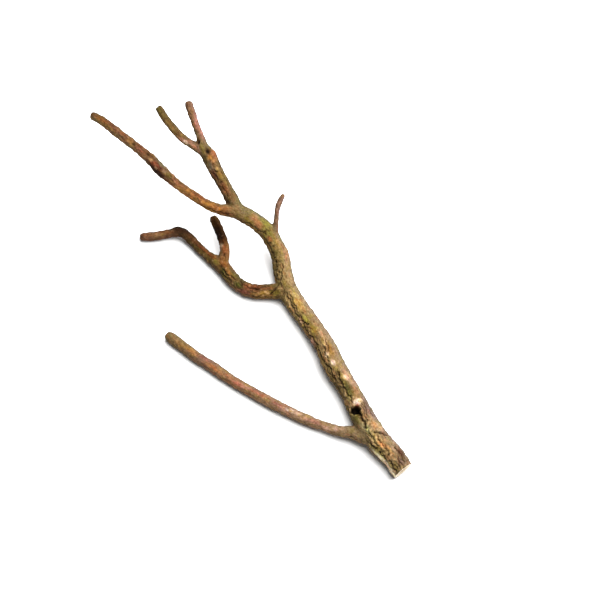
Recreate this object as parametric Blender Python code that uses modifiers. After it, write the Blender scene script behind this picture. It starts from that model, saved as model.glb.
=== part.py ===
"""A fallen tree branch, sawn off at the butt and lying on flat ground.

The wood grew as one piece. It is parted here at its forks, so that each limb
is a solid of its own, and the limbs meet face to face.

Sizes are in millimetres, and MM turns them into the model's metres. +Z is up.
The origin is on the ground, below the middle of the branch.
"""
import bmesh
import bpy
from math import atan2, cos, exp, pi, sin
from mathutils import Vector, kdtree, noise

MM = 0.001

# The middle of each limb's wood, from its root to its tip: x, y, z and radius.
LIMBS = {
    "main_stem": [
        (182, -213, 11.8, 11.6), (168, -195, 12.6, 12.3), (158, -182, 13.6, 13.1),
        (142.3, -163.6, 15, 13.7), (130.4, -144.5, 15.4, 13.3),
        (118.7, -120.2, 15.6, 11.8), (107, -98, 16, 11.2), (94.5, -76.3, 16, 12.2),
        (85, -54, 15.4, 11.5), (73.2, -33.8, 14.4, 10.8), (56.2, -8.5, 12.8, 11.1),
        (42.7, 13.8, 12, 11.4), (37.5, 31, 13.4, 11), (34, 50, 18, 10.4),
        (28.5, 64, 25, 9.8), (18.8, 78.5, 33, 9.9), (5.8, 87.8, 40, 9.6),
        (-7.6, 94, 46, 9.5), (-18.8, 98.8, 51, 9.7)],
    "left_limb": [
        (-9.2, 96.3, 47, 7.9), (-28.4, 95.6, 54, 6.9), (-46.9, 100, 59, 5.6),
        (-65.5, 110.2, 64, 5.4), (-83.7, 122.1, 69, 5.5), (-100, 134.8, 74, 6.6),
        (-109.7, 145.2, 77, 6.5), (-126, 158.8, 82, 5.6), (-147.7, 174.1, 88, 5.5),
        (-166.5, 188.2, 93, 5.2), (-177.3, 193.8, 95.6, 4.9), (-180.4, 195.2, 96.2, 3.4)],
    "right_limb": [
        (-15.4, 96, 48, 8.7), (-22.2, 109.9, 58, 8), (-31.1, 123.4, 67, 7.3),
        (-39.5, 136.7, 75, 8), (-46.3, 149.4, 82, 8.5), (-53.5, 158.7, 87, 7.2),
        (-56.3, 169.2, 92, 5), (-61.3, 181, 98, 4.4), (-66.3, 195, 104, 4.8),
        (-69.4, 203.4, 107.6, 4.7), (-70.4, 206, 108.6, 3.4)],
    "right_limb_twig": [
        (-50, 154, 84, 6.4), (-64, 161.9, 85.5, 5.3), (-76.1, 169.7, 87.5, 4.9),
        (-87, 180.9, 89.5, 4.8), (-96.4, 192.7, 92, 4.6), (-103.2, 203.2, 94.4, 4.5),
        (-104.9, 206, 95, 3.3)],
    "middle_limb": [
        (41, 13, 12.4, 9.4), (20, 14, 11, 8.4), (5.1, 14.4, 9.8, 8.2),
        (-8.2, 18.7, 9.2, 7.7), (-21.2, 29.8, 8.8, 7.9), (-34.6, 46.4, 9, 8.4),
        (-49.8, 58.2, 8, 5.8), (-62.7, 70.3, 8, 5.4), (-73.8, 82.2, 9, 5.6),
        (-83.1, 87.6, 9.6, 5.6), (-97, 86.7, 7.8, 5), (-112.1, 84.3, 6, 5.1),
        (-125.6, 83.8, 5.1, 4.9), (-129.6, 84.4, 4.9, 3.5)],
    "middle_twig": [
        (-35, 46, 9.6, 7.4), (-30.8, 59, 13, 6.2), (-31.5, 70.1, 16, 5.5),
        (-36.4, 83.2, 20, 5.4), (-40.5, 92.2, 23, 5.3), (-43.6, 98, 24.9, 5.1),
        (-45.2, 101, 25.9, 3.6)],
    "lower_limb": [
        (130, -158.3, 13.8, 9.2), (114, -152.7, 11.8, 7.5), (100.8, -150.9, 10.4, 6.1),
        (84, -145, 9, 5.4), (65, -138, 8.2, 5.8), (28.2, -119.6, 7.6, 6.2),
        (-17.2, -93.2, 7.4, 5.9), (-38.4, -78, 7.3, 6.2), (-58.8, -64.8, 6.9, 6.2),
        (-74.3, -53, 6.6, 6.3), (-91, -39.8, 6.2, 6.1), (-95.2, -36.2, 6, 4.3)],
    "spur_twig": [
        (25, 70, 29, 6.4), (27.6, 79, 36, 4.3), (29, 90, 43, 3.2), (30, 98, 48, 3.1),
        (31.2, 103.2, 50.4, 3.5), (34, 109.2, 53.6, 3.2), (36.2, 112.8, 55.6, 3.1),
        (37.5, 115, 56.8, 2.2)],
}
BARK_COLOUR = {
    "main_stem": (0.31, 0.21, 0.11), "left_limb": (0.27, 0.14, 0.07),
    "right_limb": (0.24, 0.14, 0.07), "right_limb_twig": (0.28, 0.17, 0.10),
    "middle_limb": (0.17, 0.09, 0.04), "middle_twig": (0.12, 0.06, 0.03),
    "lower_limb": (0.30, 0.18, 0.11), "spur_twig": (0.31, 0.19, 0.13),
}
BARK_ROUGHNESS = 0.85

# How far along each limb from its root it is parted from what it grows on.
PARTING = {"left_limb": 27, "right_limb": 24, "right_limb_twig": 26, "middle_limb": 20,
           "middle_twig": 18, "lower_limb": 25, "spur_twig": 20}
KERF = 0.3
KERF_REACH = 1.4

# The saw cut that closes the butt: a point on it and the way the waste fell.
SAW_AT = (169.2, -196.3, 12.0)
SAW_FACES = (0.62, -0.77, -0.05)
SAW_WASTE = 60

# The knot hole on top of the stem: its middle and its half sizes across and deep.
KNOT_HOLE_AT = (117.8, -131, 28.0)
KNOT_HOLE = (5.0, 3.6, 7.5)
KNOT_HOLE_TURN = -0.45

# Swellings and hollows of the wood: x, y, z, their reach, and their height.
LUMPS = [
    (127, -123, 27, 5, 2.2), (117, -143, 27, 7, 1.8), (149, -149, 27, 9, 1.4),
    (45, 50, 22, 7, 1.5), (-83, 90, 14, 6, 1.4), (-50, 156, 93, 6, 1.2),
    (24, 24, 18, 5, -2.8), (25, 37, 21, 4.5, -2.6), (22, 52, 25, 4.5, -2.6),
    (19, 66, 34, 4.5, -2.4), (12, 78, 42, 4, -2.2), (-52, 152, 91, 4, -2.6),
    (-115, 148, 80, 4, -1.8), (-108, 140, 80, 3.5, -1.8), (-36, 45, 17, 4, -2.0),
    (46, -1, 24, 7, 1.2)]

# The bark: ridges that run along the limb, on broader lumps, by limb and by place.
RIDGE_WIDTH = 6.8
RIDGE_LENGTH = 30.0
RIDGE_HEIGHT = 2.4
RIDGE_STRAY = 0.8
STRAY_LENGTH = 25.0
LUMP_LENGTH = 17.0
LUMP_HEIGHT = 1.3
RUGGED = {"main_stem": (1.0, 0.6), "left_limb": (0.45, 0.35), "right_limb": (0.5, 0.3),
          "right_limb_twig": (0.3, 0.3), "middle_limb": (0.75, 0.35),
          "middle_twig": (0.5, 0.4), "lower_limb": (0.4, 0.25), "spur_twig": (0.2, 0.2)}

# How finely the wood is made: the step along a limb, the size of the skin's cells,
# how far round a fork and how often it is smoothed, and the triangles kept.
ROUTE_STEP = 2.5
CELL = 1.2
FORK_REACH = 13.0
FORK_SMOOTHING = 10
TRIANGLES = 8700


def smooth_route(stations):
    """Even points on a smooth curve through the stations, each with its radius."""
    points = [Vector(station) for station in stations]
    points = [2 * points[0] - points[1]] + points + [2 * points[-1] - points[-2]]
    route = []
    for before, start, end, after in zip(points, points[1:], points[2:], points[3:]):
        steps = max(2, round((end - start).xyz.length / ROUTE_STEP))
        for i in range(steps):
            t = i / steps
            bend = 2 * before - 5 * start + 4 * end - after
            twist = 3 * start - before - 3 * end + after
            route.append(start + ((end - before) * t + bend * t * t + twist * t ** 3) / 2)
    route.append(points[-2])
    return [(point.xyz, point.w) for point in route]


def across(route):
    """For each point of a route, its way on and two directions across the limb."""
    side = Vector((0, 0, 1))
    axes = []
    for i in range(len(route)):
        ahead = route[min(i + 1, len(route) - 1)][0]
        way = (ahead - route[max(i - 1, 0)][0]).normalized()
        side = (side - way * side.dot(way)).normalized()
        axes.append((way, side, way.cross(side)))
    return axes


def place(route, distance):
    """The point, the radius and the way on at a distance along a route."""
    for (start, girth), (end, _) in zip(route, route[1:]):
        run = (end - start).length
        if distance <= run:
            return start.lerp(end, distance / run), girth, (end - start) / run
        distance -= run
    raise ValueError("the limb is shorter than that")


def limb_tube(name, route):
    """A round limb as a closed mesh object, swept along its route."""
    curve = bpy.data.curves.new(name, "CURVE")
    curve.dimensions = "3D"
    curve.bevel_depth = MM
    curve.bevel_resolution = 6
    curve.use_fill_caps = True
    spline = curve.splines.new("POLY")
    spline.points.add(len(route) - 1)
    for point, (middle, girth) in zip(spline.points, route):
        point.co = (*(middle * MM), 1)
        point.radius = girth
    sweep = bpy.data.objects.new(name, curve)
    bpy.context.scene.collection.objects.link(sweep)
    mesh = evaluated_mesh(sweep)
    weld(mesh)
    tube = bpy.data.objects.new(name, mesh)
    tube.matrix_world = sweep.matrix_world
    bpy.data.objects.remove(sweep)
    return tube


def evaluated_mesh(thing):
    """A new mesh of an object with its modifiers applied."""
    graph = bpy.context.evaluated_depsgraph_get()
    return bpy.data.meshes.new_from_object(thing.evaluated_get(graph))


def weld(mesh):
    """Join a curve's loose caps to its wall."""
    shape = bmesh.new()
    shape.from_mesh(mesh)
    bmesh.ops.remove_doubles(shape, verts=shape.verts, dist=0.01 * MM)
    bmesh.ops.recalc_face_normals(shape, faces=shape.faces)
    shape.to_mesh(mesh)
    shape.free()


def apply_modifiers(thing):
    """Keep what the modifiers make, and drop the modifiers."""
    mesh = evaluated_mesh(thing)
    thing.modifiers.clear()
    thing.data = mesh


def smooth(shape, verts, times=1):
    """Even out some of a shape's points."""
    for _ in range(times):
        bmesh.ops.smooth_vert(shape, verts=verts, factor=0.5,
                              use_axis_x=True, use_axis_y=True, use_axis_z=True)


def grown_wood(routes):
    """One smooth closed skin round every limb, rounded where the limbs fork."""
    shape = bmesh.new()
    for name, route in routes.items():
        tube = limb_tube(name, route)
        shape.from_mesh(tube.data)
        bpy.data.objects.remove(tube)
    mesh = bpy.data.meshes.new("wood")
    shape.to_mesh(mesh)
    shape.free()
    wood = bpy.data.objects.new("wood", mesh)
    bpy.context.scene.collection.objects.link(wood)
    fuse = wood.modifiers.new("fuse", "REMESH")
    fuse.mode = "VOXEL"
    fuse.voxel_size = CELL * MM
    apply_modifiers(wood)

    shape = bmesh.new()
    shape.from_mesh(wood.data)
    smooth(shape, shape.verts)
    forks = [place(routes[limb], distance / 2)[0] * MM for limb, distance in PARTING.items()]
    near = [vert for vert in shape.verts
            if min((vert.co - fork).length for fork in forks) < FORK_REACH * MM]
    smooth(shape, near, FORK_SMOOTHING)
    shape.to_mesh(wood.data)
    shape.free()
    return wood


def bark_height(round_limb, along, girth, rugged):
    """How far the bark stands out, in millimetres, at one place on a limb."""
    around = Vector((girth * cos(round_limb), girth * sin(round_limb), along))
    lumps = noise.noise(around / LUMP_LENGTH)
    stray = RIDGE_STRAY * noise.noise(around / STRAY_LENGTH)
    grain = Vector((around.x / RIDGE_WIDTH, around.y / RIDGE_WIDTH, along / RIDGE_LENGTH))
    ridges = 0.5 - 2 * abs(noise.noise(grain + Vector((stray, -stray, 0))))
    return rugged * (RIDGE_HEIGHT * ridges + LUMP_HEIGHT * lumps)


def raise_bark(wood, routes):
    """Press ridges, furrows, knots and pits into the smooth wood.

    Bark that would reach below the ground is worn flat where it lies on it.
    """
    samples = []
    for name, route in routes.items():
        along = 0.0
        axes = across(route)
        root, tip = RUGGED[name]
        for i, (middle, girth) in enumerate(route):
            if i:
                along += (middle - route[i - 1][0]).length
            rugged = root + (tip - root) * i / (len(route) - 1)
            samples.append((middle, girth, along, rugged, axes[i]))
    tree = kdtree.KDTree(len(samples))
    for i, sample in enumerate(samples):
        tree.insert(sample[0], i)
    tree.balance()

    shape = bmesh.new()
    shape.from_mesh(wood.data)
    shape.normal_update()
    for vert in shape.verts:
        spot = vert.co / MM
        middle, girth, along, rugged, (way, side, up) = samples[tree.find(spot)[1]]
        out = spot - middle
        along += out.dot(way)
        height = bark_height(atan2(out.dot(up), out.dot(side)), along, girth, rugged)
        for x, y, z, reach, rise in LUMPS:
            height += rise * exp(-(spot - Vector((x, y, z))).length_squared / reach ** 2)
        vert.co += vert.normal * height * MM
        vert.co.z = max(vert.co.z, 0.0)
    shape.to_mesh(wood.data)
    shape.free()


def thin_out(wood):
    """Bring the skin down to the triangles that its shape needs, above the ground."""
    wood.data.calc_loop_triangles()
    thin = wood.modifiers.new("thin", "DECIMATE")
    thin.ratio = TRIANGLES / len(wood.data.loop_triangles)
    thin.use_collapse_triangulate = True
    apply_modifiers(wood)
    for vert in wood.data.vertices:
        vert.co.z = max(vert.co.z, 0.0)


def cutter(name, cutters):
    """Keep the shape just added as a cutter, hidden from the model."""
    tool = bpy.context.active_object
    tool.name = name
    tool.hide_render = True
    tool.display_type = "WIRE"
    for owner in tool.users_collection:
        owner.objects.unlink(tool)
    cutters.objects.link(tool)
    return tool


def point_along(tool, middle, way):
    """Put a cutter's middle at a point, with its own +Z along a direction."""
    tool.location = middle * MM
    tool.rotation_euler = way.to_track_quat("Z", "Y").to_euler()


def add_cutters(routes, cutters):
    """The saw cut, the knot hole, and the thin parting cut at each fork."""
    faces = Vector(SAW_FACES).normalized()
    bpy.ops.mesh.primitive_cube_add(size=SAW_WASTE * MM)
    saw = cutter("saw_cut", cutters)
    point_along(saw, Vector(SAW_AT) + faces * SAW_WASTE / 2, faces)

    bpy.ops.mesh.primitive_uv_sphere_add(segments=16, ring_count=10, radius=MM)
    knot = cutter("knot_hole", cutters)
    knot.location = Vector(KNOT_HOLE_AT) * MM
    knot.rotation_euler.z = KNOT_HOLE_TURN
    knot.scale = KNOT_HOLE

    for limb, distance in PARTING.items():
        middle, girth, way = place(routes[limb], distance)
        bpy.ops.mesh.primitive_cylinder_add(vertices=20, depth=KERF * MM,
                                            radius=KERF_REACH * girth * MM)
        kerf = cutter(limb + "_kerf", cutters)
        point_along(kerf, middle, way)


def bark_material(limb):
    """The limb's own bark colour, dull all over."""
    material = bpy.data.materials.new(limb + "_bark")
    material.use_nodes = True
    surface = material.node_tree.nodes["Principled BSDF"]
    surface.inputs["Base Color"].default_value = (*BARK_COLOUR[limb], 1)
    surface.inputs["Roughness"].default_value = BARK_ROUGHNESS
    surface.inputs["Metallic"].default_value = 0.0
    return material


def part_limbs(wood, routes, branch):
    """Cut the wood, then make each loose piece the limb whose free end it has."""
    bpy.ops.object.select_all(action="DESELECT")
    bpy.context.view_layer.objects.active = wood
    wood.select_set(True)
    bpy.ops.object.mode_set(mode="EDIT")
    bpy.ops.mesh.select_all(action="SELECT")
    bpy.ops.mesh.separate(type="LOOSE")
    bpy.ops.object.mode_set(mode="OBJECT")
    pieces = list(bpy.context.selected_objects)
    for limb, route in routes.items():
        free_end = route[0] if limb == "main_stem" else route[-1]
        piece = min(pieces, key=lambda one: min(
            (vert.co - free_end[0] * MM).length for vert in one.data.vertices))
        pieces.remove(piece)
        piece.name = limb
        piece.data.name = limb
        piece.data.materials.clear()
        piece.data.materials.append(bark_material(limb))
        piece.data.shade_smooth()
        piece.data.set_sharp_from_angle(angle=pi / 4)
        branch.objects.link(piece)
        bpy.context.scene.collection.objects.unlink(piece)


def main():
    for thing in list(bpy.data.objects):
        bpy.data.objects.remove(thing)
    branch = bpy.data.collections.new("fallen_tree_branch")
    cutters = bpy.data.collections.new("cutters")
    bpy.context.scene.collection.children.link(branch)
    bpy.context.scene.collection.children.link(cutters)

    routes = {limb: smooth_route(stations) for limb, stations in LIMBS.items()}
    wood = grown_wood(routes)
    raise_bark(wood, routes)
    thin_out(wood)
    add_cutters(routes, cutters)
    cuts = wood.modifiers.new("cuts", "BOOLEAN")
    cuts.operation = "DIFFERENCE"
    cuts.operand_type = "COLLECTION"
    cuts.collection = cutters
    apply_modifiers(wood)
    part_limbs(wood, routes, branch)


main()
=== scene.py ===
"""A fallen tree branch, sawn off at the butt and lying on a pale floor.

The wood grew as one piece, so its limbs are first described one by one, from
the butt up, and then get one skin with its bark. The skin is sawn off at the
butt and parted at the forks, where the model's own parts meet.

Sizes are in millimetres unless a comment says so. MM turns them into metres.
"""

import bmesh
import bpy
import numpy as np
from math import radians
from mathutils import Matrix, Vector, noise


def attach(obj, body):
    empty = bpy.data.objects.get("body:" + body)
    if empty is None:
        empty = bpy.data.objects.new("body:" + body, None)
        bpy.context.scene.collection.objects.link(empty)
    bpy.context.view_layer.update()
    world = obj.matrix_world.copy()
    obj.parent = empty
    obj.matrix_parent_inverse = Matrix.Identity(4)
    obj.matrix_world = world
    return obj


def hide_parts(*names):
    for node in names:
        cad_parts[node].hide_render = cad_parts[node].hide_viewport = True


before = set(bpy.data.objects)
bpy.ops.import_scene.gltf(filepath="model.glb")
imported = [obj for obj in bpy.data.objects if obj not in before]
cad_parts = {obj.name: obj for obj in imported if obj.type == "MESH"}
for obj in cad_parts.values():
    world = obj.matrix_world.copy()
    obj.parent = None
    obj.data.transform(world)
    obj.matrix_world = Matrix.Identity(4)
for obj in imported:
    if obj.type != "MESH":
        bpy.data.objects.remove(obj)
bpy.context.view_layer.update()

# The view
# The branch lies below the camera, a little turned away from upright.
# A long lens keeps both ends of it the same size.


def put(name, data):
    """A new object at the origin of the scene."""
    thing = bpy.data.objects.new(name, data)
    bpy.context.scene.collection.objects.link(thing)
    return thing


camera = put("camera", bpy.data.cameras.new("camera"))
camera.location = (0.0561, -0.5502, 1.5314)
camera.rotation_euler = (radians(20), 0, 0)
camera.data.lens = 85
camera.data.sensor_width = 36
bpy.context.scene.camera = camera
bpy.context.scene.view_settings.view_transform = "Standard"

# The floor and the light
# A plain sheet of white paper, far wider than the branch. One big soft lamp
# stands behind and to the right, and the room's white walls fill in the rest.
MM = 0.001
FLOOR_BELOW = 0.2


def linear(code):
    """A colour written as #rrggbb, as linear red, green and blue."""
    parts = [int(code[i:i + 2], 16) / 255 for i in (1, 3, 5)]
    return [part / 12.92 if part <= 0.04045 else ((part + 0.055) / 1.055) ** 2.4
            for part in parts]


def material_of(name):
    """A new material, its node tree and its surface's inputs."""
    material = bpy.data.materials.new(name)
    material.use_nodes = True
    return material, material.node_tree, material.node_tree.nodes["Principled BSDF"].inputs


paper, _, surface = material_of("White_paper")
surface["Base Color"].default_value = (*linear("#f2f2f2"), 1)
surface["Roughness"].default_value = 0.9
surface["Specular IOR Level"].default_value = 0.1

sheet = bmesh.new()
bmesh.ops.create_grid(sheet, x_segments=1, y_segments=1, size=4,
                      matrix=Matrix.Translation((0, 0, -FLOOR_BELOW * MM)))
floor = put("floor", bpy.data.meshes.new("floor"))
sheet.to_mesh(floor.data)
sheet.free()
floor.data.materials.append(paper)

room = bpy.data.worlds.new("white_room")
room.use_nodes = True
room.node_tree.nodes["Background"].inputs["Color"].default_value = (1, 1, 1, 1)
room.node_tree.nodes["Background"].inputs["Strength"].default_value = 0.16
bpy.context.scene.world = room

lamp = put("soft_lamp", bpy.data.lights.new("soft_lamp", "AREA"))
lamp.data.shape = "DISK"
lamp.data.size = 2.8
lamp.data.energy = 200
lamp.location = (0.82, 0.64, 1.75)
lamp.rotation_euler = lamp.location.to_track_quat("Z", "Y").to_euler()
lamp.visible_camera = False

# Main stem
# The thickest wood, about 25 mm through, with ridged, furrowed bark that is
# olive and tan on top and on its left, and pinkish grey on its right, painted
# darker there: painted shade on the side that faces the lamp.
# Stations are x, y, z and radius, from the saw cut up. Tones are millimetres
# along, then the bark's colour on the left, on top and on the right. These
# three colours carry painted light and shade: each side is set lighter or
# darker against how the lamp lights it.
# Knobbly is how far its lumps rise, in millimetres.
# Patches are millimetres along, degrees round from the top, half their length
# and width, a colour and how strong it is. Cracks are width, depth and path,
# and one of negative depth is a raised ridge.
limbs = {}
limbs["main_stem"] = dict(knobbly=0.4, rugged=(1.0, 0.42), stations=[
    (182, -213, 11.8, 11.6), (168, -195, 12.6, 12.3), (159, -181.2, 13.6, 12.5), (142.8, -163.2, 15, 13.3),
    (130.4, -144.5, 15.4, 13.3), (118.7, -120.2, 15.6, 11.8), (107, -98, 16, 11.2),
    (94.5, -76.3, 16, 12.2), (85, -54, 15.4, 11.5), (73.2, -33.8, 14.4, 10.8), (56.2, -8.5, 12.8, 11.1),
    (42.7, 13.8, 12, 11.4), (37.5, 31, 13.4, 11), (34, 50, 18, 10.4), (28.5, 64, 25, 9.8),
    (18.8, 78.5, 33, 9.9), (5.8, 87.8, 40, 9.6), (-7.6, 94, 46, 9.5), (-18.8, 98.8, 51, 9.7)
], tones=[
    (25, "#96856a", "#978462", "#857b76"), (75, "#9c8b6a", "#9d8965", "#8b817f"),
    (105, "#9f8e6d", "#988462", "#8b8383"), (145, "#a08b5f", "#a08965", "#8d8381"),
    (200, "#9c845d", "#9e8764", "#8b807a"), (250, "#a18e60", "#9e8962", "#877e76"),
    (300, "#867751", "#9d885c", "#8b8372"), (340, "#9c8258", "#958354", "#7c7865"),
    (385, "#9c7e58", "#977e56", "#726f5d")
], patches=[
    (243, -4, 9, 3.6, "#a48537", 0.65), (250, -52, 10, 2, "#d4b988", 0.6),
    (256, 2, 5, 2.5, "#a39262", 0.6), (225, -22, 4.5, 2.8, "#aaa24b", 0.85),
    (209, -19, 6, 3.2, "#a8903d", 0.85), (228, -57, 4, 1.6, "#f1d0b6", 0.8),
    (199, -74, 6, 3.5, "#ae8682", 0.8), (186, -8, 3, 1.8, "#d8ba9e", 0.85),
    (201, 9, 3, 1.5, "#cfb298", 0.85), (193, 1, 6, 1.4, "#c3a584", 0.7), (179, 6, 8, 3.6, "#9e7549", 0.85),
    (174, -21, 2.2, 2, "#ffe2e0", 1.0), (163, -10, 2.6, 2.2, "#ffe8e8", 1.0),
    (143, 4, 2, 1.6, "#f4d8d0", 1.0), (140.5, 13, 2.2, 1.6, "#e8c4b8", 1.0),
    (150, 22, 9, 2.6, "#b59880", 0.6), (138, 30, 8, 3, "#b8978a", 0.8), (129, -8, 9, 4, "#505124", 0.9),
    (122, -24, 7, 3, "#676533", 0.7), (120, 22, 8, 4, "#a07b55", 0.7), (111, 5, 2.8, 4.6, "#ffeef4", 1.0),
    (107, -13, 2.2, 2, "#803327", 0.8), (95, -44, 7, 6, "#59552c", 0.9), (101, 22, 12, 4, "#886d5f", 0.8),
    (96, 44, 14, 4, "#76676b", 0.7), (80, -28, 5.5, 5, "#adac8a", 0.85), (79, 15, 4.2, 3, "#c69573", 0.7),
    (72, 34, 5.5, 3.5, "#b6968b", 0.5), (57, -13, 3, 2, "#f0b080", 0.8), (59, -12, 6, 3, "#c39862", 0.4),
    (47, -3, 3.2, 2.4, "#d9c288", 0.6), (66, -22, 8, 3, "#b2a070", 0.7), (52, -30, 9, 4, "#b09c69", 0.6),
    (38, 34, 6, 4, "#643c31", 0.85), (30, 13, 5.5, 4, "#806863", 0.85), (45, 17, 4, 1.8, "#c9aa96", 0.85),
    # The two cream strips at -73 and -76 degrees near the butt are partly the bark's pale rim, partly
    # painted light on its shaded lower left.
    (47, -73, 12, 3, "#fff6e4", 1.8), (26, -76, 13, 3, "#fff6e4", 1.8), (348, 20, 9, 7, "#89863e", 0.6),
    (338, 2, 5, 4, "#827b3c", 0.75), (356, -8, 5, 3.5, "#b77f59", 0.9),
    (366, -24, 4.5, 2.6, "#b39f50", 0.85), (366, 16, 5, 4, "#aa7a5c", 0.8),
    (376, 26, 8, 5, "#767465", 0.6), (372, -12, 3, 2.4, "#7f7f33", 0.7),
    (334, -22, 3, 2.4, "#d49668", 0.85), (318, -20, 14, 4, "#837642", 0.6),
    (292, 30, 26, 4, "#ab9574", 0.6), (325, 20, 10, 3, "#af8b64", 0.6), (306, 44, 16, 4, "#9a7965", 0.5)
], smooth=[
    (96, -48, 11, 8, 0.9), (35, -78, 30, 6, 0.9), (130, 30, 40, 6, 0.6), (240, 38, 50, 8, 0.6),
    (50, -40, 22, 5, 0.45), (330, 30, 40, 9, 0.7), (64, 12, 12, 8, 0.4), (180, 35, 30, 7, 0.6)
], cracks=[
    (3.2, 4.2, [(104, -18), (98, -22)]), (2.2, 3.0, [(98, -21), (93, -19), (87, -19), (82, -24)]),
    (1.7, 2.2, [(151, -13), (145, -24), (139, -30), (133, -28)]),
    (1.1, 1.5, [(133, -28), (126, -30), (119, -22), (113, -26)]),
    (1.3, 2.0, [(188, -56), (180, -62), (173, -62), (167, -51), (158, -38), (152, -46), (146, -52)]),
    (1.4, 2.2, [(222, -56), (214, -64), (208, -63), (203, -56), (199, -58), (195, -52), (188, -56)]),
    (1.4, 2.0, [(230, -35), (226, -45), (221, -41), (218, -30)]),
    (1.1, 1.5, [(264, -26), (254, -30), (243, -44), (234, -52), (229, -62)]),
    (1.3, -0.9, [(262, -42), (252, -46), (243, -60), (236, -68)]),
    (1.1, -0.9, [(262, -3), (254, -5), (245, -17), (237, -20)]),
    (1.0, -0.7, [(262, -3), (255, 14), (248, 24), (236, 12)]),
    (0.8, 1.0, [(258, -10), (248, -22), (238, -28)]),
    (1.0, -0.9, [(201, 10), (194, -1), (188, -6), (182, -10)]),
    (0.8, -0.7, [(192, 17), (187, 4), (183, -9)]), (0.9, 1.4, [(191, 5), (184, 4), (178, -6)]),
    (1.0, 1.5, [(184, -18), (177, -28), (170, -25)]),
    (0.8, 1.1, [(114, 34), (104, 27), (96, 17), (90, 8)]),
    (0.8, 1.1, [(108, 15), (100, 9), (92, -1), (86, -4)]), (0.8, 1.0, [(112, 52), (100, 46), (90, 34)]),
    (1.6, 2.0, [(72, 1), (70, 10), (65, 31), (62, 46)]),
    (1.3, -1.0, [(80, -30), (74, -14), (66, -14), (58, -24), (50, -20)]),
    (1.1, -0.9, [(76, -38), (70, -36), (64, -38), (57, -36)]),
    (1.3, -0.9, [(70, 6), (62, 1), (54, 4), (47, -3), (42, -16)]),
    (0.8, 1.0, [(78, -22), (72, -23), (66, -27), (58, -33)]),
    (0.8, 1.0, [(66, -4), (58, -12), (50, -11), (44, -24)]), (1.5, 2.0, [(66, -57), (62, -51), (58, -50)]),
    (1.7, 2.2, [(49, -53), (45.6, -55), (41, -57)]), (1.6, 2.2, [(38, -42), (35, -44), (31, -42)]),
    (1.5, 1.8, [(29, -53), (27, -50), (24, -44)]), (1.1, 1.5, [(46, 26), (40, 32), (34, 30), (28, 22)]),
    (0.9, 1.2, [(40, 48), (34, 43), (27, 36)]), (0.9, 1.2, [(36, 4), (30, 0), (22, 4)]),
    (1.0, 1.4, [(272, -41), (281, -26), (290, -8), (299, 4)]),
    (0.9, 1.5, [(288, -50), (300, -42), (312, -46), (322, -46), (330, -50), (339, -52)]),
    (0.9, 1.5, [(341, -18), (345, -34), (354, -42), (363, -44), (369, -46), (376, -60)]),
    (0.7, 0.9, [(344, 30), (341, 16), (343, 4), (347, -6)])
], pits=[
    (69, -65, 2.8, 2.4), (53, -49, 2.6, 2.2), (139, -31, 2.4, 1.6), (303, -40, 2.4, 1.8),
    (310, -38, 1.8, 1.4), (318, -49, 2.2, 1.8), (290, -29, 2.2, 1.6), (297, -36, 1.8, 1.3),
    (329, -33, 2.0, 1.6), (324, -22, 1.6, 1.1), (345, -16, 2.4, 1.5), (287, -50, 2.2, 1.6),
    (216, 8, 1.6, 0.9), (232, -14, 1.6, 0.8)
], bumps=[
    (94, -42, 8, 6, 2.4), (118, -34, 9, 7, 1.6), (111, 5, 3.0, 4.8, 1.7), (85, 20, 11, 6, 1.0),
    (79, 15, 4.5, 4, 1.0), (72, 34, 5, 4, 1.2), (248, 0, 13, 7, 1.4), (199, -74, 4, 4, 1.2),
    (310, 62, 7, 6, 1.4), (62, -60, 12, 6, 0.4), (142, 9, 5, 4, 1.1), (163, -9, 4, 3.4, 0.9),
    (174, -21, 3.4, 3, 0.8)
])

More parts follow.
